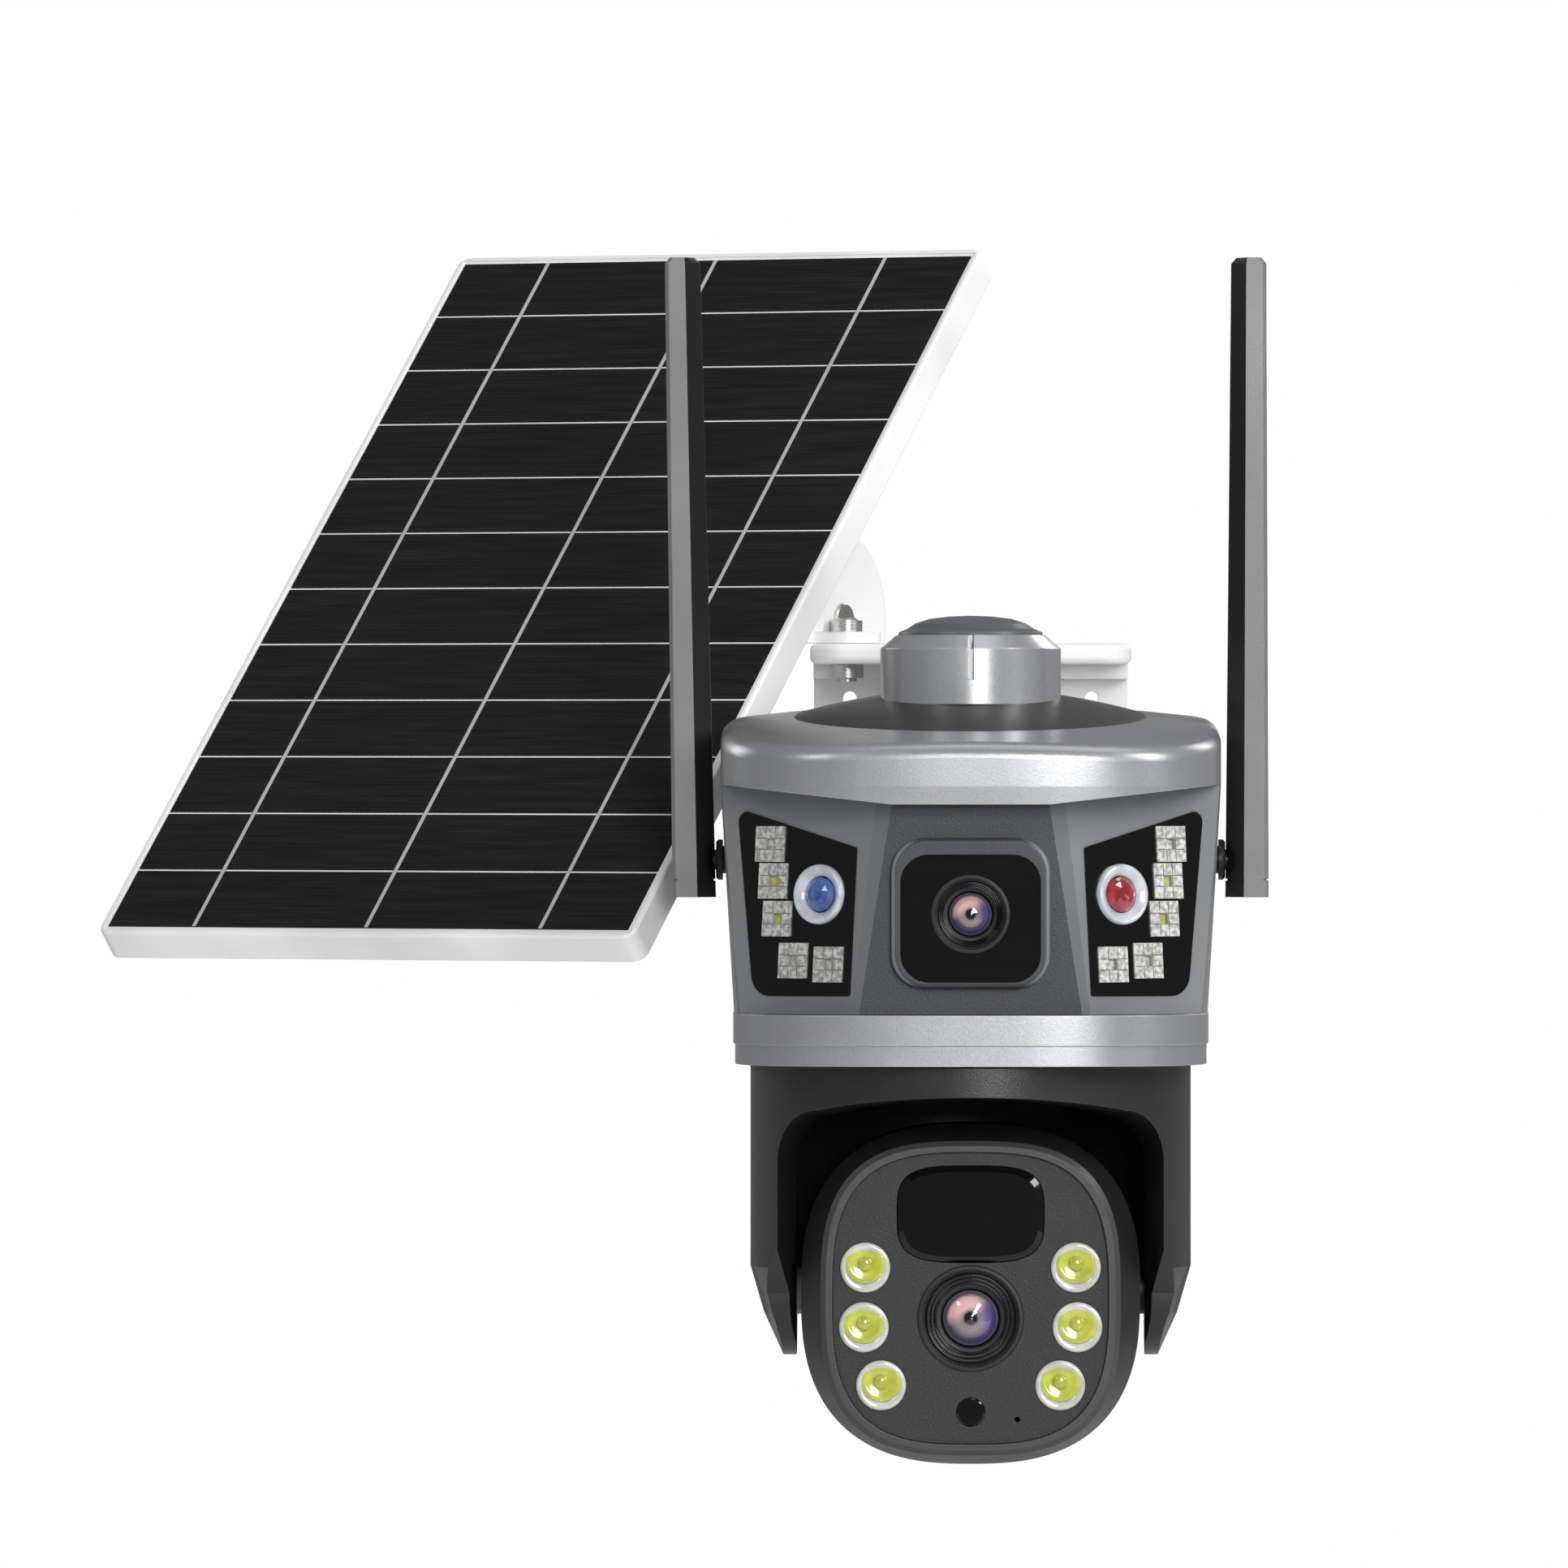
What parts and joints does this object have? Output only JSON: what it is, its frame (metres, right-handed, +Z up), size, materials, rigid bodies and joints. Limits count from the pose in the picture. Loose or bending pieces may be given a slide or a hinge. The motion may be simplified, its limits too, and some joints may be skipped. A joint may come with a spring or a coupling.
{
  "type": "solar security camera",
  "caption": "Outdoor camera on an angled wall bracket: fixed three-facet upper housing, panning and tilting head below, swinging antennas and a tilting solar panel beside it.",
  "frame": {"origin": "centre of the bracket plate's back face", "axes": "+Z up, +Y into the wall or post behind the plate, the camera looks along -Y, +X to the right of the row as seen from the front"},
  "size_m": [0.304, 0.3071, 0.3156],
  "materials": {
    "white_paint": "satin powder coat",
    "silver_coat": "satin silver coat on a die casting",
    "silver_plastic": "satin silver paint",
    "grey_plastic": "satin dark grey",
    "black_plastic": "satin black",
    "gloss_black": "polished black window",
    "matte_black": "matt black",
    "lens_glass": "coated glass",
    "reflector": "bright metallised reflector",
    "lamp_chip": "yellow phosphor",
    "clear_cup": "clear moulded lens cup",
    "beacon_rim": "pale translucent rim",
    "blue_lens": "blue faceted lens",
    "red_lens": "red faceted lens",
    "circuit_board": "green solder mask",
    "battery_wrap": "shrink-wrapped lithium cell",
    "zinc_steel": "zinc plated",
    "motor_steel": "plated motor can",
    "gear_plastic": "natural acetal",
    "white_plastic": "satin white",
    "solar_silicon": "dark cell under clear resin",
    "ribbon_metal": "tinned ribbon",
    "speaker_black": "paper cone and plastic basket",
    "chassis": "moulded tray"
  },
  "bodies": {
    "camera_base": {"wall_bracket": "white_paint", "bracket_arm": "silver_coat", "arm_screws": "zinc_steel", "neck_cap": "grey_plastic", "top_cap": "grey_plastic", "housing_shell": "silver_plastic", "face_plate": "grey_plastic", "centre_window": "gloss_black", "fixed_lens_barrel": "matte_black", "fixed_lens_glass": "lens_glass", "face_boards": "circuit_board", "lamp_window_left": "gloss_black", "lamp_window_right": "gloss_black", "lamp_reflectors": "reflector", "lamp_chips": "lamp_chip", "beacon_rims": "beacon_rim", "blue_beacon": "blue_lens", "red_beacon": "red_lens", "base_ring": "silver_plastic", "chassis_plate": "chassis", "battery_cells": "battery_wrap", "main_board": "circuit_board", "speaker": "speaker_black", "pan_motor": "motor_steel", "antenna_stub_left": "black_plastic", "antenna_stub_right": "black_plastic", "card_cover": "black_plastic", "housing_screws": "zinc_steel", "cable_gland": "black_plastic", "yaw_bolt": "zinc_steel"},
    "pan_yoke": {"yoke": "black_plastic", "pan_gear": "gear_plastic", "arm_cover_left": "black_plastic", "arm_cover_right": "black_plastic", "trunnion_gear": "gear_plastic", "trunnion_pin": "black_plastic"},
    "pan_drive": {"pan_pinion": "gear_plastic"},
    "tilt_head": {"head_shell": "black_plastic", "head_bezel": "gloss_black", "head_face": "matte_black", "motion_window": "gloss_black", "head_lens_barrel": "matte_black", "head_lens_glass": "lens_glass", "spot_cups": "clear_cup", "spot_leds": "lamp_chip", "light_sensor": "gloss_black", "head_board": "circuit_board", "tilt_motor": "motor_steel"},
    "tilt_drive": {"tilt_pinion": "gear_plastic"},
    "antenna_left_arm": {"antenna_left": "black_plastic"},
    "antenna_right_arm": {"antenna_right": "black_plastic"},
    "panel_swivel": {"panel_hinge_base": "white_paint"},
    "panel": {"panel_frame": "white_plastic", "solar_cells": "solar_silicon", "cell_ribbons": "ribbon_metal", "panel_backsheet": "white_plastic", "junction_box": "black_plastic", "panel_carrier": "white_paint", "hinge_bolt": "zinc_steel"},
    "reset_key": {"reset_button": "black_plastic"}
  },
  "joints": [
    {"name": "pan", "type": "hinge", "parent": "camera_base", "child": "pan_yoke", "pos_m": [0, -0.134, -0.067], "axis": [0, 0, 1], "range_deg": [-175, 175]},
    {"name": "pan_pinion_spin", "type": "hinge", "parent": "camera_base", "child": "pan_drive", "pos_m": [0.029, -0.134, -0.062], "axis": [0, 0, 1], "range_deg": [-880, 880]},
    {"name": "tilt", "type": "hinge", "parent": "pan_yoke", "child": "tilt_head", "pos_m": [0, -0.134, -0.1256], "axis": [1, 0, 0], "range_deg": [-10, 90]},
    {"name": "tilt_pinion_spin", "type": "hinge", "parent": "tilt_head", "child": "tilt_drive", "pos_m": [-0.033, -0.1178, -0.1256], "axis": [1, 0, 0], "range_deg": [-35, 275]},
    {"name": "antenna_left_swing", "type": "hinge", "parent": "camera_base", "child": "antenna_left_arm", "pos_m": [-0.067, -0.134, -0.015], "axis": [1, 0, 0], "range_deg": [0, 180]},
    {"name": "antenna_right_swing", "type": "hinge", "parent": "camera_base", "child": "antenna_right_arm", "pos_m": [0.067, -0.134, -0.015], "axis": [1, 0, 0], "range_deg": [0, 180]},
    {"name": "panel_yaw", "type": "hinge", "parent": "camera_base", "child": "panel_swivel", "pos_m": [-0.0326, -0.03, 0.0425], "axis": [0, 0, 1], "range_deg": [-30, 0]},
    {"name": "panel_tilt", "type": "hinge", "parent": "panel_swivel", "child": "panel", "pos_m": [-0.036, -0.0205, 0.0468], "axis": [0.878, -0.4787, 0], "range_deg": [0, 30]},
    {"name": "reset_press", "type": "slide", "parent": "camera_base", "child": "reset_key", "axis": [0, -1, 0], "range_m": [0, 0.0012], "stiffness_N_per_m": 400, "springref_m": -0.001}
  ],
  "couplings": [
    {"joint": "pan_pinion_spin", "follows": "pan", "ratio": -5},
    {"joint": "tilt_pinion_spin", "follows": "tilt", "ratio": 3}
  ]
}
